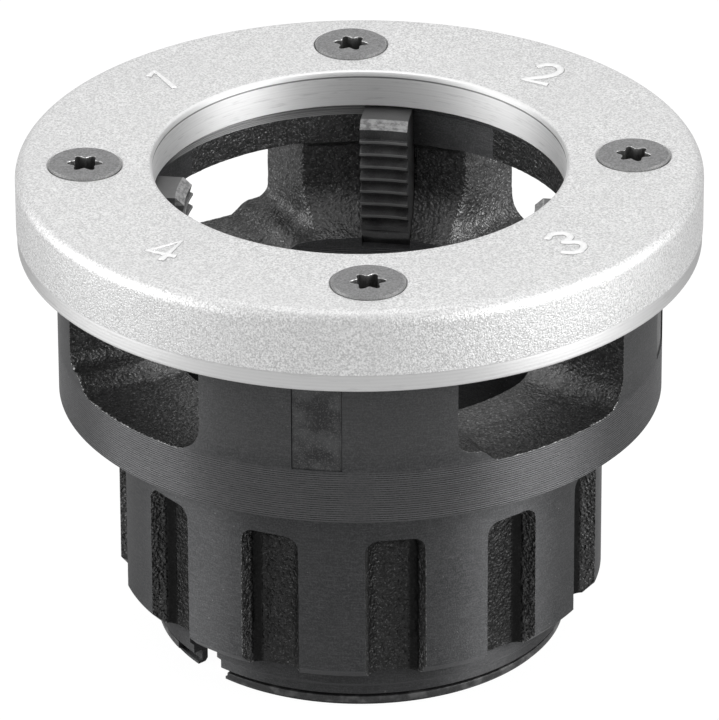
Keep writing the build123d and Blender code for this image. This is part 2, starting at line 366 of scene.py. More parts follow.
def bodyShell(s):
    bore, rim, rib, body = s["boreRadius"], s["rimRadius"], s["ribRadius"], s["bodyRadius"]
    collar, ribBase, shoulder, bodyTop = s["collarRadius"], s["ribBase"], s["shoulder"], s["bodyTop"]
    stepRadius, stepHeight = rim + s["rimStep"], bodyTop - s["rimStepDrop"]
    bm, corners = drawSection([
        (bore + s["boreChamfer"], 0), (s["lipRadius"], 0), (s["lipRadius"], s["lipHeight"]),
        (s["grooveRadius"], s["lipHeight"]), (s["grooveRadius"], s["grooveTop"]),
        (s["landRadius"], s["grooveTop"]), (s["landRadius"], s["landTop"]),
        (collar, s["collarStepTop"]), (collar, ribBase),
        (rib - s["ribChamfer"], ribBase), (rib, ribBase + s["ribChamfer"]), (rib, shoulder),
        (body - s["shoulderChamfer"], shoulder), (body, shoulder + s["shoulderChamfer"]), (body, bodyTop),
        (rim + s["rimChamfer"], bodyTop), (stepRadius, bodyTop - s["rimChamfer"]),
        (stepRadius, stepHeight), (rim, stepHeight),
        (rim, s["shellStep"]), (bore, s["shellStep"]), (bore, s["boreChamfer"]),
    ])
    for index, radius in s["outlineFillets"]:
        roundCorner(bm, corners[index], radius, 2)
    rimWall = [edge for edge in bm.edges if all(abs(v.co.x - rim * mm) < 1e-6 for v in edge.verts)]
    bmesh.ops.subdivide_edges(bm, edges=rimWall, cuts=s["rimWallCuts"])
    spinSection(bm, s["steps"])
    bm.normal_update()
    # the boring tool misses the rim from each slot to the far side of the window beside it
    for face in bm.faces:
        if isCastRim(s, face):
            face.material_index = castFace
    addLumps([vert for vert in bm.verts if vert.link_faces
              and all(face.material_index == castFace for face in vert.link_faces)], s["lumps"])
    return bm


def windowVoid(s):
    # the sides spread outwards by the draft, and the bench lies along one of them
    edgeX = math.sqrt(s["bodyRadius"] ** 2 - (s["windowWidth"] / 2) ** 2)
    slope = math.tan(math.radians(s["windowDraft"]))
    innerX, outerX = s["hollowStart"], s["bodyRadius"] + s["past"]
    half = s["windowWidth"] / 2 - (edgeX - innerX) * slope
    bm = bmesh.new()
    outline = [(-half, s["rimBase"])] + [(y - half, s["windowFloor"] + z) for y, z in s["bench"]]
    outline += [(half, s["windowFloor"]), (half, s["rimBase"])]
    corners = [bm.verts.new((innerX * mm, y * mm, z * mm)) for y, z in outline]
    bm.faces.new(corners)
    roundCorner(bm, corners[5], s["windowCornerRadius"], 7)
    made = bmesh.ops.extrude_face_region(bm, geom=bm.faces[:])
    for vert in (item for item in made["geom"] if isinstance(item, bmesh.types.BMVert)):
        vert.co.x = outerX * mm
        vert.co.y += math.copysign((outerX - innerX) * slope * mm, vert.co.y)
    closeUp(bm)
    return bm


def innerVoid(s):
    # the foot slopes down to the top of the bore and runs on through it
    footRadius, footHeight = s["hollowFoot"]
    slope = (footHeight - s["boreTop"]) / (footRadius - s["boreRadius"])
    start, top = s["hollowStart"], s["rimBase"] + s["rimPast"]
    bm, corners = drawSection([
        (start, s["boreTop"] - (s["boreRadius"] - start) * slope), s["hollowFoot"],
        (s["pillarInnerRadius"], s["hollowSide"]), (s["pillarInnerRadius"], s["rimUnderside"]),
        (s["rimRadius"], s["rimBase"]), (s["rimRadius"] - s["rimPastInset"], top), (start, top),
    ])
    for index in (1, 2):
        roundCorner(bm, corners[index], s["hollowFillet"])
    spinSection(bm, s["hollowSteps"])
    window = windowVoid(s)
    for number in range(4):
        addCopy(bm, window, turnBy(s["windowAngle"] + 90 * number))
    window.free()
    return bm


def pocketVoid(s):
    slope = math.tan(math.radians(s["pocketDraft"]))
    half = s["pocketHalfWidth"] + s["pocketStart"] * slope
    top = s["pocketTop"] + s["pocketStart"] * slope
    mouth = (s["ribRadius"] + s["pocketStart"]) * mm
    bm = bmesh.new()
    outline = ((-half, 0), (half, 0), (half, top), (-half, top))
    corners = [bm.verts.new((mouth, y * mm, z * mm)) for y, z in outline]
    bm.faces.new(corners)
    for index in (2, 3):
        roundCorner(bm, corners[index], s["pocketCornerRadius"], 6)
    floor = max(bm.faces, key=lambda face: face.calc_area())
    depth = s["pocketStart"] + s["pocketDepth"]
    bmesh.ops.inset_region(bm, faces=[floor], thickness=depth * slope * mm,
                           use_boundary=True, use_even_offset=True)
    bmesh.ops.translate(bm, verts=floor.verts, vec=(-depth * mm, 0, 0))
    bevel(bm, floor.edges[:], s["pocketFloorFillet"], 3, "EDGES")
    closeUp(bm)
    return bm


def milledCuts(s):
    # the four chaser slots, the four screw holes and the notch
    cuts = bmesh.new()
    addBox(cuts, (s["slotStart"], -s["slotWidth"] / 2, s["slotFloor"]),
           (s["bodyRadius"] + s["past"], s["slotWidth"] / 2, s["bodyTop"] + s["past"]))
    cuts.transform(turnBy(s["slotAngle"]))
    holeRadius, holeTop = s["screwHoleRadius"], s["bodyTop"] + s["past"]
    holes, _ = drawSection([(0, s["screwHoleFloor"]), (holeRadius, s["screwHoleFloor"] + s["screwHoleCone"]),
                            (holeRadius, holeTop), (0, holeTop)])
    spinSection(holes, 32)
    addCopy(cuts, holes, turnBy(s["screwAngle"]) @ Matrix.Translation((s["screwCircle"] * mm, 0, 0)))
    holes.free()
    copyRound(cuts, 4)
    notch = bmesh.new()
    addBox(notch, (s["slotStart"], -s["notchWidth"] / 2, s["notchBase"]),
           (s["collarRadius"] + s["past"], s["notchWidth"] / 2, s["notchHeight"]))
    addCopy(cuts, notch, turnBy(s["notchAngle"]))
    notch.free()
    bmesh.ops.recalc_face_normals(cuts, faces=cuts.faces)
    for face in cuts.faces:
        face.material_index = milledFace
    return cuts


def markEdges(bm):
    # where a cast face meets a cut one, for the paint of the cast faces
    edgeMark = bm.verts.layers.float.new("castEdge")
    for edge in bm.edges:
        kinds = {face.material_index for face in edge.link_faces}
        if castFace in kinds and len(kinds) > 1:
            for vert in edge.verts:
                vert[edgeMark] = 1.0


def makeBody(s, finishes):
    bm = bodyShell(s)
    inner = castSkin(innerVoid(s), s["windowNet"], s["windowSmoothing"], s["lumps"], finishes, castFace)
    bm = carve(bm, inner, finishes)
    print("body hollowed, faces", len(bm.faces))
    pockets = pocketVoid(s)
    pockets.transform(turnBy(s["ribAngle"] + 180 / s["ribCount"]))
    copyRound(pockets, s["ribCount"])
    pockets = castSkin(pockets, s["pocketNet"], s["pocketSmoothing"], s["lumps"], finishes, castFace)
    bm = carve(bm, pockets, finishes)
    print("pockets cut, faces", len(bm.faces))
    bm = carve(bm, milledCuts(s), finishes)
    markEdges(bm)
    print("slots, holes and notch cut, faces", len(bm.faces))
    return bm


blackTurning = {
    "start": (0.06, 0.061, 0.062), "metallic": 0.8, "groovesAcross": 0.95,
    "roughnessSpan": (0.2, 0.8), "roughness": (0.52, 0.6),
    "dark": (0.062, 0.063, 0.065), "pale": (0.080, 0.081, 0.083),
    # two tool marks of nearly equal pitch, which beat against each other
    "firstMark": 0.6, "secondMark": 0.5, "secondPitch": 1.22, "markSpan": (-0.9, 0.9), "onBandStrength": 0.8,
    "markDark": (0.02, 0.02, 0.021), "markPale": (0.185, 0.186, 0.19),
    "bandBase": (41.2, 42.4), "bandTop": (52.2, 50.5),
    # how much of each kind of line shows off the band and on it
    "regularShare": (0.05, 1.1), "unevenShare": (0.45, 0.7), "fineRelief": 0.8,
    # each layer has a strength and a colour or grey
    "lineSpan": (0.3, 1.1), "lineColour": (0.17, 0.17, 0.175),
    "brushedSpan": (0.45, 0.75), "brushedLayer": (0.32, (0.17, 0.17, 0.175)),
    "fineSpan": (0.35, 0.75), "fineLayer": (0.32, (0.2, 0.2, 0.205)),
    "speckSpan": (0.75, 0.83), "speckLayer": (0.4, 0.5),
    "pillarHeight": (50.5, 56.0), "pillarRadius": (48.0, 49.0), "pillarLightLayer": (0.18, 0.2),
    "collarHeight": (8.5, 7.0), "collarShadeLayer": (0.25, 0.03),
    "rimHighlightHeight": (73.85, 74.05), "rimHighlightRadius": (37.2, 36.6), "rimHighlightLayer": (1.0, 0.45),
    "rimHighlightFrom": (1.45, 1.48), "rimHighlightTo": (2.70, 2.55), "rimHighlightSpan": (0.3, 0.6), "rimHighlightRange": (0.4, 0.9),
}


def turnedBlack(name, pitch, lineStrength, depth, s=blackTurning):
    finish, tree, shader = newFinish(name, s["start"], s["metallic"], 0.5)
    place, radius, angle, height = polar(tree)
    rings = turningLines(tree, radius, height, pitch)
    first = calc(tree, "SINE", product(tree, rings, 2 * math.pi))
    second = calc(tree, "SINE", product(tree, rings, 2 * math.pi * s["secondPitch"]))
    regular = calc(tree, "ADD", product(tree, first, s["firstMark"]), product(tree, second, s["secondMark"]))
    uneven = grainAlong(tree, rings, 1.6, 3.0)
    # the regular marks show on the band under the windows, and hardly elsewhere
    onBand = product(tree, zone(tree, height, s["bandBase"]), zone(tree, height, s["bandTop"]))
    regularShare = spread(tree, onBand, (0, 1), *s["regularShare"])
    unevenShare = spread(tree, onBand, (0, 1), *s["unevenShare"])
    lines = calc(tree, "ADD", product(tree, regular, regularShare), product(tree, uneven, unevenShare))
    brushed = grain(tree, place, 0.7, 2.0, stretch=(0.4, 0.4, 3.5))
    cloud = grain(tree, place, 9.0, 3.0)
    fine = grain(tree, place, 0.26)
    specks = grain(tree, place, 0.45)
    # the pillars are painted a little paler, as painted light
    pillarLight = product(tree, zone(tree, height, s["pillarHeight"]), zone(tree, radius, s["pillarRadius"]))
    # a bright band at the top of the rim wall, over one stretch of it, is a painted highlight
    rimHighlight = product(tree, zone(tree, height, s["rimHighlightHeight"]), zone(tree, radius, s["rimHighlightRadius"]),
                       spread(tree, angle, s["rimHighlightFrom"]), spread(tree, angle, s["rimHighlightTo"]),
                       spread(tree, uneven, s["rimHighlightSpan"], *s["rimHighlightRange"]))
    colour = blendColours(tree, spread(tree, cloud, noiseSpan), s["dark"], s["pale"])
    marks = blendColours(tree, spread(tree, regular, s["markSpan"]), s["markDark"], s["markPale"])
    colour = layerUp(
        tree, colour,
        (spread(tree, lines, s["lineSpan"]), lineStrength, s["lineColour"]),
        (onBand, s["onBandStrength"], marks),
        (spread(tree, brushed, s["brushedSpan"]), *s["brushedLayer"]),
        (spread(tree, fine, s["fineSpan"]), *s["fineLayer"]),
        (spread(tree, specks, s["speckSpan"]), *s["speckLayer"]),
        (pillarLight, *s["pillarLightLayer"]),
        # painted shade darkens the collar under the ribs
        (zone(tree, height, s["collarHeight"]), *s["collarShadeLayer"]),
        (rimHighlight, *s["rimHighlightLayer"]),
    )
    lightAcross(tree, shader, place, s["groovesAcross"])
    relief = calc(tree, "ADD", lines, product(tree, fine, s["fineRelief"]))
    roughness = spread(tree, cloud, s["roughnessSpan"], *s["roughness"])
    showFinish(tree, shader, colour, roughness, relief, depth)
    return finish


blackCasting = {
    "start": (0.1, 0.1, 0.1), "metallic": 0.7, "specularTint": 0.5, "relief": 1.0,
    "roughnessSpan": (0.35, 0.7), "roughness": (0.46, 0.3),
    "dark": (0.076, 0.076, 0.076), "pale": (0.130, 0.130, 0.131), "sandSpan": (0.1, 0.55),
    # pebble size, and the size and reach of the push that keeps two pebbles from looking alike, in mm
    "pebble": 0.5, "pushSize": 0.9, "pushReach": 0.5,
    "coarseShare": 0.9, "fineShare": 0.4, "pebbleShare": 0.8,
    # the spans from pockets to windows and from hollow to pockets, and the levels at their two ends
    "pocketToWindow": (36, 48), "innerToPocket": (37.2, 38.2),
    "pocketShadeByHeight": (0.72, 0.0), "pocketShadeByRadius": (1.0, 0.35), "pocketShadeLayer": (1.0, 0.01),
    "shineByHeight": (0.12, 0.5), "shineRadius": (37.6, 38.4), "shineByRadius": (0.0, 0.35),
    "shineSpan": (0.58, 0.72), "shineLayer": (1.0, 0.5),
    "windowShadeRadius": (40.0, 49.0), "windowShadeTop": (56.0, 53.0), "windowShadeBase": (48.0, 50.0), "windowShadeLayer": (0.4, 0.02),
    "footRadius": (39.0, 37.0), "footTop": (60.0, 57.0), "footBase": (50.0, 52.0), "footLightLayer": (0.35, 0.3),
    "edgeRadius": (36.2, 37.5), "edgeSpan": (0.05, 0.6), "edgeDrop": 0.4,
    "rubbedSpan": (0.46, 0.58), "rubbedLayer": (0.6, 0.6),
    "cornerAcross": (2.4, 3.0), "cornerRadius": (37.8, 37.1), "cornerTop": (36.0, 34.0),
    "cornerSides": (-1.0, 1.0), "cornerShadeBySide": (0.25, 0.85), "cornerShadeLayer": (1.0, 0.004),
    "reliefByHeight": (0.4, 0.2), "cornerReliefSpan": (0, 0.8), "cornerRelief": (1.0, 0.2),
}


def castBlack(s, body):
    finish, tree, shader = newFinish("castBlack", s["start"], s["metallic"], 0.35, s["specularTint"])
    place, radius, angle, height = polar(tree)
    # pebbles that the sand leaves, pushed about so that no two are alike
    pushInputs = {"Vector": place, "Scale": 1 / (s["pushSize"] * mm), "Detail": 1.0}
    push = addNode(tree, "TexNoise", pushInputs).outputs["Color"]
    pushed = vectorCalc(tree, "ADD", place, vectorCalc(tree, "MULTIPLY", push, grey(s["pushReach"] * mm)))
    pebbleInputs = {"Vector": pushed, "Scale": 1 / (s["pebble"] * mm)}
    pebbles = addNode(tree, "TexVoronoi", pebbleInputs, feature="SMOOTH_F1").outputs["Distance"]
    fine = grain(tree, place, 0.3)
    coarse = grain(tree, place, 1.3, 2.0)
    shining = grain(tree, pushed, 0.34)
    sandy = calc(tree, "ADD", product(tree, coarse, s["coarseShare"]), product(tree, fine, s["fineShare"]))
    sandy = calc(tree, "SUBTRACT", sandy, product(tree, pebbles, s["pebbleShare"]))

    # the pockets between the ribs are painted darker than the windows, as painted shade, and the pebble tops
    # shine
    pocketShade = product(tree, zone(tree, height, s["pocketToWindow"], *s["pocketShadeByHeight"]),
                       zone(tree, radius, s["innerToPocket"], *s["pocketShadeByRadius"]))
    shine = calc(tree, "MAXIMUM", zone(tree, height, s["pocketToWindow"], *s["shineByHeight"]),
                 zone(tree, radius, s["shineRadius"], *s["shineByRadius"]))
    shine = product(tree, shine, spread(tree, shining, s["shineSpan"]))
    # painted shade darkens the window floors towards the outside, and painted light makes the sloping foot
    # inside paler
    windowFloorShade = product(tree, zone(tree, radius, s["windowShadeRadius"]), zone(tree, height, s["windowShadeTop"]),
                   zone(tree, height, s["windowShadeBase"]))
    # painted light on the sloping foot inside
    litFoot = product(tree, zone(tree, height, s["footTop"]), zone(tree, radius, s["footRadius"]),
                   zone(tree, height, s["footBase"]))
    # black is rubbed off the tops along the cut edges
    edge = addNode(tree, "Attribute", attribute_name="castEdge").outputs["Fac"]
    edge = product(tree, edge, zone(tree, radius, s["edgeRadius"]))
    rubbed = product(tree, spread(tree, edge, s["edgeSpan"]), spread(tree, shining, s["rubbedSpan"]))
    # the corners of the pockets are smoother, and painted shade darkens them, most in the one that is
    # further round
    pocketAngle = math.radians(body["ribAngle"] + 180 / body["ribCount"])
    halfStep = math.pi / body["ribCount"]
    across = calc(tree, "WRAP", calc(tree, "SUBTRACT", angle, pocketAngle), halfStep, -halfStep)
    across = product(tree, across, radius)
    further = product(tree, across, calc(tree, "SIGN", calc(tree, "COSINE", angle)))
    corner = product(tree, zone(tree, calc(tree, "ABSOLUTE", across), s["cornerAcross"]),
                     zone(tree, radius, s["cornerRadius"]), zone(tree, height, s["cornerTop"]),
                     zone(tree, further, s["cornerSides"], *s["cornerShadeBySide"]))
    colour = blendColours(tree, spread(tree, sandy, s["sandSpan"]), s["dark"], s["pale"])
    colour = layerUp(
        tree, colour,
        (pocketShade, *s["pocketShadeLayer"]), (shine, *s["shineLayer"]), (windowFloorShade, *s["windowShadeLayer"]),
        (litFoot, *s["footLightLayer"]), (rubbed, *s["rubbedLayer"]), (corner, *s["cornerShadeLayer"]),
    )
    depth = product(tree, zone(tree, height, s["pocketToWindow"], *s["reliefByHeight"]),
                    spread(tree, corner, s["cornerReliefSpan"], *s["cornerRelief"]))
    relief = calc(tree, "SUBTRACT", product(tree, sandy, depth), product(tree, edge, s["edgeDrop"]))
    roughness = spread(tree, fine, s["roughnessSpan"], *s["roughness"])
    showFinish(tree, shader, colour, roughness, relief, s["relief"])
    return finish


bodyFinishes = [
    turnedBlack("turnedBlack", pitch=0.4, lineStrength=0.5, depth=0.03),
    castBlack(blackCasting, bodySizes),
    turnedBlack("milledBlack", pitch=0.4, lineStrength=0.2, depth=0.012),
]
finishPiece("castBody", makeBody(bodySizes, bodyFinishes), bodyFinishes, ["body"])


# Cover

coverFace, boreFace, bandFace = range(3)

coverSizes = {
    "radius": 56.0, "boreRadius": 33.7, "underside": 76.4, "top": 82.6,
    "skirtInner": 49.8, "skirtBase": 68.95, "bandRadius": 55.85, "bandTop": 71.85, "bandStep": 0.15,
    "skirtFillet": 0.5, "rimFillet": 2.2, "boreFillet": 0.8, "boreBaseFillet": 0.3,
    "boreFinishEnd": 34.0, "bandFinishEnd": 71.95,
    "screwAngle": 1.7, "screwCircle": 44.6,
    "sinkRadius": 6.3, "neckRadius": 3.1, "sinkBelow": 4.0, "past": 2.0,
    "numberRadius": 44.9, "numberSize": 7.4, "numberHeight": 0.31, "strokeRadius": 1.1, "numberLean": 0.6,
    "numberNet": 0.14, "numberSmoothing": 2, "numberLumps": ((0.7, 0.04),),
    # the angle of each number, its bends (round or sharp) and the points of its stroke
    "numbers": (
        (136.7, "sss", ((-0.2, 0.3), (0.06, 0.5), (0.06, -0.5))),
        (46.7, "rrrrss", ((-0.3, 0.24), (-0.14, 0.45), (0.14, 0.45), (0.27, 0.18), (-0.3, -0.5),
                          (0.32, -0.5))),
        (-43.3, "rrrsrrr", ((-0.28, 0.34), (0.0, 0.5), (0.26, 0.27), (-0.02, 0.04), (0.3, -0.2), (0.0, -0.5),
                            (-0.3, -0.34))),
        (-133.3, "ssss", ((0.34, -0.2), (-0.34, -0.2), (0.12, 0.5), (0.12, -0.5))),
    ),
    "steps": 360,
}


def coverRing(s, finishes):
    bore, skirt, band, top = s["boreRadius"], s["skirtInner"], s["bandRadius"], s["top"]
    bm, corners = drawSection([
        (bore, s["underside"]), (skirt, s["underside"]), (skirt, s["skirtBase"]), (band, s["skirtBase"]),
        (band, s["bandTop"]), (s["radius"], s["bandTop"] + s["bandStep"]), (s["radius"], top), (bore, top),
    ])
    fillets = ((3, "skirtFillet", 4), (6, "rimFillet", 10), (7, "boreFillet", 5), (0, "boreBaseFillet", 2))
    for index, fillet, segments in fillets:
        roundCorner(bm, corners[index], s[fillet], segments)
    spinSection(bm, s["steps"])
    for face in bm.faces:
        radius, height = radiusAndHeight(face)
        if radius < s["boreFinishEnd"]:
            face.material_index = boreFace
        elif height < s["bandFinishEnd"]:
            face.material_index = bandFace
    # the countersinks reach from under the plate to above it
    low, high = s["underside"] - s["sinkBelow"], top + s["past"]
    sinks, _ = drawSection([
        (0, low), (s["neckRadius"], low), (s["neckRadius"], top - s["sinkRadius"] + s["neckRadius"]),
        (s["sinkRadius"] + s["past"], high), (0, high),
    ])
    spinSection(sinks, 64)
    sinks.transform(turnBy(s["screwAngle"]) @ Matrix.Translation((s["screwCircle"] * mm, 0, 0)))
    copyRound(sinks, 4)
    for face in sinks.faces:
        face.material_index = boreFace
    return carve(bm, sinks, finishes)


def raisedNumbers(s, finishes):
    # plain chaser numbers, cast proud of the cover as rounded ridges
    bm = bmesh.new()
    for angle, bends, points in s["numbers"]:
        curve = bpy.data.curves.new("number", "CURVE")
        curve.dimensions = "3D"
        curve.bevel_depth = s["strokeRadius"] * mm
        curve.bevel_resolution = 4
        curve.use_fill_caps = True
        stroke = curve.splines.new("BEZIER")
        stroke.bezier_points.add(len(points) - 1)
        for point, (across, up), bend in zip(stroke.bezier_points, points, bends):
            point.co = (across * s["numberSize"] * mm, up * s["numberSize"] * mm, 0)
            point.handle_left_type = point.handle_right_type = {"r": "AUTO", "s": "VECTOR"}[bend]
        writer = linkObject("number", curve)
        mesh = evaluatedMesh(writer)
        bpy.data.objects.remove(writer)
        bpy.data.curves.remove(curve)
        turn = math.radians(angle)
        lean = math.radians(angle - math.copysign(90, angle)) * s["numberLean"]
        place = (s["numberRadius"] * math.cos(turn) * mm, s["numberRadius"] * math.sin(turn) * mm,
                 (s["top"] + s["numberHeight"] - s["strokeRadius"]) * mm)
        mesh.transform(Matrix.Translation(place) @ Matrix.Rotation(lean, 4, "Z"))
        bm.from_mesh(mesh)
        bpy.data.meshes.remove(mesh)
    bmesh.ops.remove_doubles(bm, verts=bm.verts, dist=1e-6)
    return castSkin(bm, s["numberNet"], s["numberSmoothing"], s["numberLumps"], finishes, coverFace)


lightCasting = {
    "start": (0.72, 0.72, 0.72), "specularTint": 0.5, "roughness": (0.56, 0.46), "relief": 0.09,
    "topDark": 0.62, "sideDark": 0.54, "palest": 0.99, "grainSpan": (0.45, 1.05), "fineShare": 0.5,
    "sideRadius": (55.0, 55.8), "topAndSideRelief": (0.85, 1.0),
    "cloudSpan": (0.35, 0.65), "cloudLayer": (0.25, 0.75),
    # painted shade as a dark line round the foot of each number, a painted highlight on its top, and a
    # painted highlight on the lip of the bore
    "rootBase": (82.612, 82.622), "rootTop": (82.73, 82.68), "rootShadeLayer": (0.75, 0.3),
    "raisedHighlight": (82.68, 82.78), "lipRadius": (34.7, 34.4),
    "edgeInner": (53.6, 54.4), "edgeOuter": (55.98, 55.7), "edgeRougher": 0.05, "edgeRelief": 0.55,
}
# the lip of the bore has a painted highlight on the far side
farSide = (0.2, 0.7)


def castLight(s):
    finish, tree, shader = newFinish("castLight", s["start"], 1.0, 0.3, s["specularTint"])
    place, radius, angle, height = polar(tree)
    sand = grain(tree, place, 0.31)
    fine = grain(tree, place, 0.22)
    cloud = grain(tree, place, 14.0, 2.0)
    mixed = calc(tree, "ADD", sand, product(tree, fine, s["fineShare"]))
    onSide = zone(tree, radius, s["sideRadius"])
    # painted shade round the foot of each number
    rootShade = product(tree, zone(tree, height, s["rootBase"]), zone(tree, height, s["rootTop"]))
    lipHighlight = product(tree, zone(tree, radius, s["lipRadius"]), spread(tree, calc(tree, "SINE", angle), farSide))
    dark = blendColours(tree, onSide, s["topDark"], s["sideDark"])
    colour = blendColours(tree, spread(tree, mixed, s["grainSpan"]), dark, s["palest"])
    colour = layerUp(
        tree, colour,
        (spread(tree, cloud, s["cloudSpan"]), *s["cloudLayer"]),
        (rootShade, *s["rootShadeLayer"]),
        # the tops of the numbers and the far side of the bore's lip are painted white, as painted highlights
        (calc(tree, "MAXIMUM", zone(tree, height, s["raisedHighlight"]), lipHighlight), 1.0, 1.0),
    )
    # the outer top edge is handled most, so its grain is worn down
    onEdge = product(tree, zone(tree, radius, s["edgeInner"]), zone(tree, radius, s["edgeOuter"]))
    roughness = calc(tree, "ADD", spread(tree, fine, noiseSpan, *s["roughness"]),
                     product(tree, onEdge, s["edgeRougher"]))
    relief = product(tree, mixed, spread(tree, onSide, (0, 1), *s["topAndSideRelief"]),
                     spread(tree, onEdge, (0, 1), 1.0, s["edgeRelief"]))
    showFinish(tree, shader, colour, roughness, relief, s["relief"])
    return finish


lightTurning = {
    "start": (0.72, 0.72, 0.72), "specularTint": 0.55, "pitch": 0.3, "paler": 1.07, "relief": 0.008,
    "scuffSpan": (0.55, 0.72), "scuffLayer": (0.3, 0.5), "roughnessSwing": 0.04,
    "darkBandBase": (81.52, 81.60), "darkBandTop": (81.86, 81.78), "darkBandLayer": (0.75, 0.12),
    "lipHeight": (81.84, 81.92),
}


def turnedLight(name, base, roughness, across, s=lightTurning):
    finish, tree, shader = newFinish(name, s["start"], 1.0, roughness, s["specularTint"])
    place, radius, angle, height = polar(tree)
    uneven = grainAlong(tree, turningLines(tree, radius, height, s["pitch"]), 1.0, 4.0)
    scuffs = grain(tree, place, 1.2, 3.0, 0.6, (0.25, 0.25, 2.5))
    # a thin darker band round the bore, just under the rounded corner
    darkBand = product(tree, zone(tree, height, s["darkBandBase"]), zone(tree, height, s["darkBandTop"]))
    # the far side of the bore's lip is painted white, as a painted highlight
    lipHighlight = product(tree, zone(tree, height, s["lipHeight"]), spread(tree, calc(tree, "SINE", angle), farSide))
    colour = blendColours(tree, spread(tree, uneven, noiseSpan), base, tuple(s["paler"] * c for c in base))
    colour = layerUp(
        tree, colour,
        (spread(tree, scuffs, s["scuffSpan"]), *s["scuffLayer"]), (darkBand, *s["darkBandLayer"]), (lipHighlight, 1.0, 1.0),
    )
    lightAcross(tree, shader, place, across)
    swing = (roughness - s["roughnessSwing"], roughness + s["roughnessSwing"])
    showFinish(tree, shader, colour, spread(tree, uneven, noiseSpan, *swing), uneven, s["relief"])
    return finish


coverFinishes = [
    castLight(lightCasting),
    # the bore's finish is painted paler than the band's, as painted light
    turnedLight("litTurnedBore", grey(0.88), roughness=0.68, across=0.85),
    turnedLight("turnedBand", grey(0.71), roughness=0.45, across=0.7),
]
coverMesh = coverRing(coverSizes, coverFinishes)
coverMesh = carve(coverMesh, raisedNumbers(coverSizes, coverFinishes), coverFinishes, "UNION")
finishPiece("coverRing", coverMesh, coverFinishes, ["cover"])


# Chasers

chaserSizes = {
    "angle": -8.1, "thickness": 7.95, "outerRadius": 49.35, "top": 76.3, "base": 51.5,
    "pitch": 25.4 / 11, "formAngle": 55.0, "taper": 1 / 16, "crestRadius": 28.3,
    "firstCrestDrop": 4.15, "teeth": 8,
    "faceTop": 75.7, "landTop": 74.4, "landStep": 0.25, "landSlope": 0.35, "landBevel": 1.35,
    "entryHeight": 6.0, "entryRadius": 32.6,
    "edge": 0.06, "sharpAngle": 30, "below": 1.0, "sweep": 24, "steps": 24, "smoothAngle": 20,
}


def chaserMesh(s, number):
    flat = s["pitch"] / 6
    depth = (s["pitch"] / 2 - flat) / math.tan(math.radians(s["formAngle"] / 2))
    # the teeth start a quarter of the pitch higher from each chaser to the next
    firstCrest = s["top"] - s["firstCrestDrop"] + s["pitch"] * (number - 2) / 4
    teeth = []
    for tooth in reversed(range(s["teeth"])):
        height = firstCrest - tooth * s["pitch"]
        crest = s["crestRadius"] + (s["top"] - height) * s["taper"] / 2
        teeth += [(crest + depth, height - (s["pitch"] - flat) / 2), (crest, height - flat / 2),
                  (crest, height + flat / 2), (crest + depth, height + (s["pitch"] - flat) / 2)]
    landRadius = s["crestRadius"] + s["landStep"]
    low = s["base"] - s["below"]
    bm, _ = drawSection([
        (teeth[0][0], low), *teeth[:-1], (landRadius + s["landSlope"], firstCrest + flat),
        (landRadius, s["landTop"]), (landRadius + s["landBevel"], s["faceTop"]),
        (s["outerRadius"], s["faceTop"]), (s["outerRadius"], low),
    ])
    # the section is swept to a sector, and planes cut the block out of it
    bm.transform(turnBy(-s["sweep"] / 2))
    spinSection(bm, s["steps"], s["sweep"])
    sliceOff(bm, (0, s["thickness"] / 2 * mm, 0), (0, 1, 0))
    sliceOff(bm, (0, -s["thickness"] / 2 * mm, 0), (0, -1, 0))
    sliceOff(bm, (0, 0, s["base"] * mm), (0, 0, -1))
    # the bevel below, which the pipe's end meets first
    facing = Vector((-s["entryHeight"], 0, s["crestRadius"] - s["entryRadius"])).normalized()
    sliceOff(bm, (s["entryRadius"] * mm, 0, s["base"] * mm), facing)
    sharp = [edge for edge in bm.edges
             if edge.is_manifold and edge.calc_face_angle(0) > math.radians(s["sharpAngle"])]
    bevel(bm, sharp, s["edge"], 1, "EDGES", clamp_overlap=True)
    bm.transform(turnBy(s["angle"] + (number - 1) * 90))
    return bm


toolSteelLook = {
    "start": (0.05, 0.05, 0.05), "metallic": 0.55, "roughness": (0.36, 0.52), "relief": 0.03,
    "fineRelief": 0.6, "dark": (0.075, 0.075, 0.076), "pale": (0.135, 0.135, 0.137),
    "endRadius": (48.0, 49.0), "endDark": (0.025, 0.025, 0.026), "endPale": (0.072, 0.073, 0.074),
    "endSpan": (0.35, 0.65), "topHeight": (75.60, 75.68), "topLayer": (0.8, 0.2),
    # depths behind the tapered line of the crests, in mm
    "crestDepth": (0.14, 0.06), "crestLayer": (0.75, 0.3),
    "bevelDepth": (1.80, 1.72), "bevelHeight": (74.36, 74.42), "bevelLightLayer": (1.0, 0.42),
    "bevelSpan": (0.35, 0.65), "bevelRange": (0.3, 1.0),
    "fineSpan": (0.5, 0.75), "fineLayer": (0.25, 0.25),
}


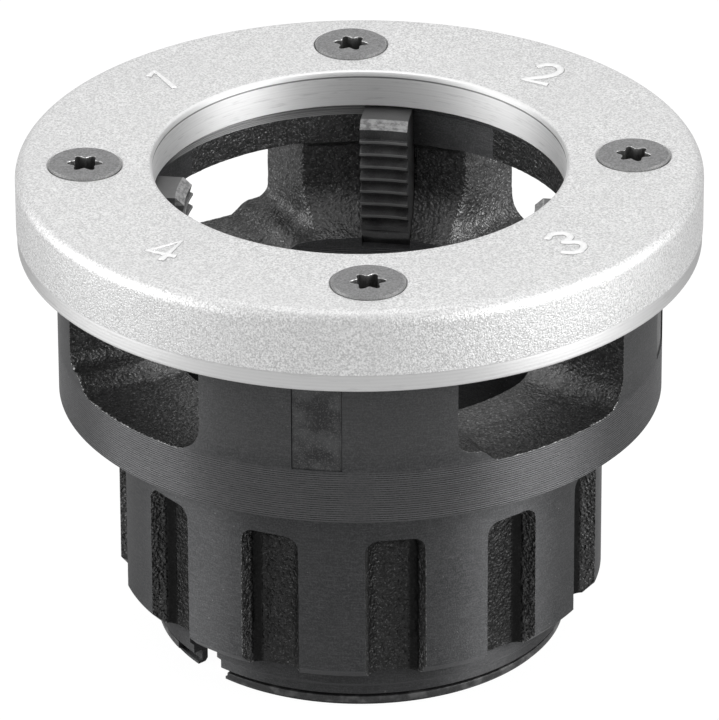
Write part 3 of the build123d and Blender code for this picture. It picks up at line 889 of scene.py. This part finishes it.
def toolSteel(s, sizes):
    finish, tree, shader = newFinish("toolSteel", s["start"], s["metallic"], 0.4)
    place, radius, _, height = polar(tree)
    smudge = grain(tree, place, 4.0, 4.0, 0.6)
    worn = grain(tree, place, 0.5, 2.0, 0.6, (0.5, 0.5, 1.0))
    fine = grain(tree, place, 0.25)
    taper = product(tree, calc(tree, "SUBTRACT", sizes["top"] * mm, height), sizes["taper"] / 2)
    behind = calc(tree, "SUBTRACT", calc(tree, "SUBTRACT", radius, sizes["crestRadius"] * mm), taper)
    # the bevel over the land is painted paler: the worn streaks in it are real wear, and its paleness is
    # painted light on its upward face
    landBevel = product(tree, zone(tree, height, s["bevelHeight"]), zone(tree, behind, s["bevelDepth"]),
                        spread(tree, worn, s["bevelSpan"], *s["bevelRange"]))
    outerEnd = blendColours(tree, spread(tree, smudge, s["endSpan"]), s["endDark"], s["endPale"])
    colour = blendColours(tree, spread(tree, smudge, noiseSpan), s["dark"], s["pale"])
    colour = layerUp(
        tree, colour,
        (zone(tree, radius, s["endRadius"]), 1.0, outerEnd),
        (zone(tree, height, s["topHeight"]), *s["topLayer"]),
        (zone(tree, behind, s["crestDepth"]), *s["crestLayer"]),
        (landBevel, *s["bevelLightLayer"]),
        (spread(tree, fine, s["fineSpan"]), *s["fineLayer"]),
    )
    relief = calc(tree, "ADD", worn, product(tree, fine, s["fineRelief"]))
    showFinish(tree, shader, colour, spread(tree, smudge, noiseSpan, *s["roughness"]), relief, s["relief"])
    return finish


chaserFinishes = [toolSteel(toolSteelLook, chaserSizes)]
for number in range(1, 5):
    finishPiece(f"chaser{number}", chaserMesh(chaserSizes, number), chaserFinishes,
                [f"chaser_{number}"], chaserSizes["smoothAngle"])


# Cover screws

screwFace, recessFace, recessRim, headRim = range(4)

screwSizes = {
    "angle": 1.7, "circle": 44.6, "headRadius": 6.0, "coneTop": 82.4, "top": 82.95, "rimFillet": 0.3,
    "neckRadius": 3.0, "neckTaper": 0.3, "threadRadius": 2.68, "tip": 62.6, "tipChamfer": 0.5,
    "recessRadius": 2.85, "lobes": 6, "lobeDepth": 0.95, "recessDepth": 2.6, "recessEdge": 0.1,
    "recessTurns": (14.0, 49.0, 27.0, 3.0), "steps": 96, "recessSteps": 144,
}


def screwBlank(s):
    coneBase = s["coneTop"] - (s["headRadius"] - s["neckRadius"])
    bm, _ = drawSection([
        (0, s["tip"]), (s["threadRadius"] - s["tipChamfer"], s["tip"]),
        (s["threadRadius"], s["tip"] + s["tipChamfer"]), (s["threadRadius"], coneBase - s["neckTaper"]),
        (s["neckRadius"], coneBase), (s["headRadius"], s["coneTop"]),
        (s["headRadius"], s["top"] - s["rimFillet"]), (s["headRadius"] - s["rimFillet"], s["top"]),
        (0, s["top"]),
    ])
    spinSection(bm, s["steps"])
    for face in bm.faces:
        radius, height = radiusAndHeight(face)
        if radius > s["headRadius"] - s["rimFillet"] and height > s["coneTop"]:
            face.material_index = headRim
    return bm


def recessKey(s, turn):
    # a six-lobed outline that narrows over the rim of the recess and then runs straight down
    key = bmesh.new()
    bmesh.ops.create_circle(key, cap_ends=True, segments=s["recessSteps"], radius=s["recessRadius"] * mm)
    for vert in key.verts:
        angle = math.atan2(vert.co.y, vert.co.x)
        lobe = math.cos(s["lobes"] * (angle - math.radians(turn)))
        reach = s["recessRadius"] - s["lobeDepth"] / 2 * (1 + lobe)
        vert.co.x, vert.co.y = reach * math.cos(angle) * mm, reach * math.sin(angle) * mm
    wider = 1 + 2 * s["recessEdge"] / s["recessRadius"]
    bmesh.ops.translate(key, verts=key.verts, vec=(0, 0, (s["top"] + s["recessEdge"]) * mm))
    bmesh.ops.scale(key, verts=key.verts, vec=(wider, wider, 1))
    face = key.faces[:][0]
    for drop, narrow in ((2 * s["recessEdge"], 1 / wider), (s["recessDepth"], 1)):
        made = bmesh.ops.extrude_face_region(key, geom=[face])
        bmesh.ops.delete(key, geom=[face], context="FACES_ONLY")
        lower = [item for item in made["geom"] if isinstance(item, bmesh.types.BMVert)]
        face = next(item for item in made["geom"] if isinstance(item, bmesh.types.BMFace))
        bmesh.ops.translate(key, verts=lower, vec=(0, 0, -drop * mm))
        bmesh.ops.scale(key, verts=lower, vec=(narrow, narrow, 1))
    closeUp(key)
    for face in key.faces:
        face.material_index = recessRim if 0.1 <= abs(face.normal.z) <= 0.9 else recessFace
    return key


screwLook = {
    "metallic": 0.5, "relief": 0.02, "roughnessSwing": 0.08, "darker": 0.75, "paler": 1.3,
    "cloudSpan": (0.5, 0.7), "cloudLayer": (0.4, 0.24),
}


def screwSteel(name, colour, roughness, s=screwLook):
    finish, tree, shader = newFinish(name, colour, s["metallic"], roughness)
    place = addNode(tree, "TexCoord").outputs["Object"]
    fine = grain(tree, place, 0.3, 3.0, 0.6)
    cloud = grain(tree, place, 2.5, 2.0)
    dark, pale = (tuple(share * c for c in colour) for share in (s["darker"], s["paler"]))
    shade = blendColours(tree, spread(tree, fine, noiseSpan), dark, pale)
    shade = layerUp(tree, shade, (spread(tree, cloud, s["cloudSpan"]), *s["cloudLayer"]))
    swing = (roughness + s["roughnessSwing"], roughness - s["roughnessSwing"])
    showFinish(tree, shader, shade, spread(tree, fine, noiseSpan, *swing), fine, s["relief"])
    return finish


screwFinishes = [
    screwSteel("screwSteel", (0.19, 0.19, 0.192), 0.42),
    # the recess is painted darker than the head, as painted shade
    screwSteel("screwRecessShade", grey(0.1), 0.35),
    # the edge of the recess and the rounded rim of the head are painted paler, as painted highlights
    screwSteel("screwEdgeHighlight", grey(0.5), 0.3),
    screwSteel("screwRimHighlight", grey(0.28), 0.4),
]
screws = bmesh.new()
for number, turn in enumerate(screwSizes["recessTurns"]):
    screw = carve(screwBlank(screwSizes), recessKey(screwSizes, turn), screwFinishes)
    onCircle = Matrix.Translation((screwSizes["circle"] * mm, 0, 0))
    addCopy(screws, screw, turnBy(screwSizes["angle"] + number * 90) @ onCircle)
    screw.free()
finishPiece("coverScrews", screws, screwFinishes, ["cover_screws"])


# Snap ring

ringSizes = {
    "inner": 32.55, "outer": 33.85, "base": 0.5, "top": 1.7, "edge": 0.15,
    "gap": 22.5, "gapCentre": -141.8, "steps": 240,
}


def ringMesh(s):
    bm, corners = drawSection([(s["inner"], s["base"]), (s["outer"], s["base"]),
                               (s["outer"], s["top"]), (s["inner"], s["top"])])
    for corner in corners:
        roundCorner(bm, corner, s["edge"], 2)
    spinSection(bm, s["steps"], 360 - s["gap"])
    bm.transform(turnBy(s["gapCentre"] + s["gap"] / 2))
    return bm


ringFinishes = [screwSteel("springSteel", (0.045, 0.045, 0.046), 0.4)]
finishPiece("snapRing", ringMesh(ringSizes), ringFinishes, ["snap_ring"])


# Floor, room, lamps and camera

stageSizes = {
    "floorHalf": 4.0, "floorDrop": 0.03, "floorGrey": 0.42, "floorRoughness": 0.9,
    "floorGlow": 1.2, "glowSeen": 0.8, "glowMirrored": 0.38,
    # the room's strength in front of the object, over it, at its sides and behind it
    "frontLight": 0.44, "topLight": 0.54, "sideGlow": 0.3, "backLight": 1.16,
    # directions in the room, as the length of the direction along one axis
    "upSpan": (0.3, 0.75), "asideSpan": (0.25, 0.7), "asideUpSpan": (0.15, 0.5),
    "behindAcross": (0.65, 0.3), "behindSpan": (0.5, 0.88),
}

floorMesh = bmesh.new()
bmesh.ops.create_grid(floorMesh, x_segments=1, y_segments=1, size=stageSizes["floorHalf"])
bmesh.ops.translate(floorMesh, verts=floorMesh.verts, vec=(0, 0, -stageSizes["floorDrop"] * mm))
paper, tree, shader = newFinish("paper", grey(stageSizes["floorGrey"]), 0.0, stageSizes["floorRoughness"])
shader.inputs["Specular IOR Level"].default_value = 0.0
makeObject("floor", floorMesh, [paper])

# the floor is white to the camera, a pale glow in reflections, and plain paper to all other light
rays = addNode(tree, "LightPath")
seen = calc(tree, "MAXIMUM", rays.outputs["Is Camera Ray"], rays.outputs["Is Transmission Ray"])
glowing = calc(tree, "MAXIMUM", product(tree, seen, stageSizes["glowSeen"]),
               product(tree, rays.outputs["Is Glossy Ray"], stageSizes["glowMirrored"]))
glow = addNode(tree, "Emission", {"Color": (1, 1, 1, 1), "Strength": stageSizes["floorGlow"]})
mixed = addNode(tree, "MixShader", {0: glowing, 1: shader.outputs[0], 2: glow.outputs[0]})
tree.links.new(mixed.outputs[0], tree.nodes["Material Output"].inputs["Surface"])

# the room is white behind the object and dimmer on the camera's side, and the lens sees it white all round
world = bpy.data.worlds.new("studio")
bpy.context.scene.world = world
world.use_nodes = True
tree = world.node_tree
background = tree.nodes["Background"]
background.inputs["Color"].default_value = (1, 1, 1, 1)
sky = addNode(tree, "SeparateXYZ", {0: addNode(tree, "TexCoord").outputs["Generated"]}).outputs
across = calc(tree, "ABSOLUTE", sky["X"])
front = spread(tree, sky["Z"], stageSizes["upSpan"], stageSizes["frontLight"], stageSizes["topLight"])
aside = product(tree, spread(tree, across, stageSizes["asideSpan"], 0.0, stageSizes["sideGlow"]),
                spread(tree, sky["Z"], stageSizes["asideUpSpan"]))
behind = product(tree, spread(tree, across, stageSizes["behindAcross"]),
                 spread(tree, sky["Y"], stageSizes["behindSpan"]))
room = spread(tree, behind, (0, 1), calc(tree, "ADD", front, aside), stageSizes["backLight"])
lens = addNode(tree, "LightPath").outputs["Is Camera Ray"]
strength = addNode(tree, "MapRange", {"Value": lens, "To Min": room, "To Max": 1.0}).outputs["Result"]
tree.links.new(strength, background.inputs["Strength"])

# lamps stand round a point in the object: turn counts from the camera to the right, lift from the floor
lampCentre = Vector((0, 0, 0.05))
lamps = {
    "overhead": {"turn": 0, "lift": 102, "away": 1.25, "size": (0.8, 0.6), "power": 2.3},
    "leftBox": {"turn": -84, "lift": 14, "away": 1.15, "size": (0.9, 0.9), "power": 8.4},
    "rightBox": {"turn": 69, "lift": 14, "away": 1.15, "size": (0.8, 0.9), "power": 11.4},
}
for name, s in lamps.items():
    lamp = bpy.data.lights.new(name, "AREA")
    lamp.shape = "RECTANGLE"
    lamp.size, lamp.size_y = s["size"]
    lamp.energy = s["power"]
    turn, lift = math.radians(s["turn"]), math.radians(s["lift"])
    toLamp = Vector((math.sin(turn) * math.cos(lift), -math.cos(turn) * math.cos(lift), math.sin(lift)))
    holder = linkObject(name, lamp)
    holder.location = toLamp * s["away"] + lampCentre
    holder.rotation_euler = (-toLamp).to_track_quat("-Z", "Y").to_euler()

# the camera looks at a point in the object from a distance, with angles in degrees and lengths in metres
shot = {
    "lens": 400.2, "sensor": 36, "elevation": 27.162, "roll": 0.231, "distance": 1.3151,
    "aim": (-0.000112, 0.0, 0.0461), "clip": (0.05, 20),
}
tilt, roll = math.radians(shot["elevation"]), math.radians(shot["roll"])
forward = Vector((0, math.cos(tilt), -math.sin(tilt)))
level, upward = Vector((1, 0, 0)), Vector((0, math.sin(tilt), math.cos(tilt)))
right = level * math.cos(roll) - upward * math.sin(roll)
top = upward * math.cos(roll) + level * math.sin(roll)
camera = linkObject("camera", bpy.data.cameras.new("camera"))
camera.data.sensor_fit = "HORIZONTAL"
camera.data.sensor_width = shot["sensor"]
camera.data.lens = shot["lens"]
camera.data.clip_start, camera.data.clip_end = shot["clip"]
facing = Matrix((right, top, -forward)).transposed().to_4x4()
camera.matrix_world = Matrix.Translation(Vector(shot["aim"]) - forward * shot["distance"]) @ facing
bpy.context.scene.camera = camera
bpy.context.scene.view_settings.view_transform = "Standard"
print("stage set, lamps", len(lamps))
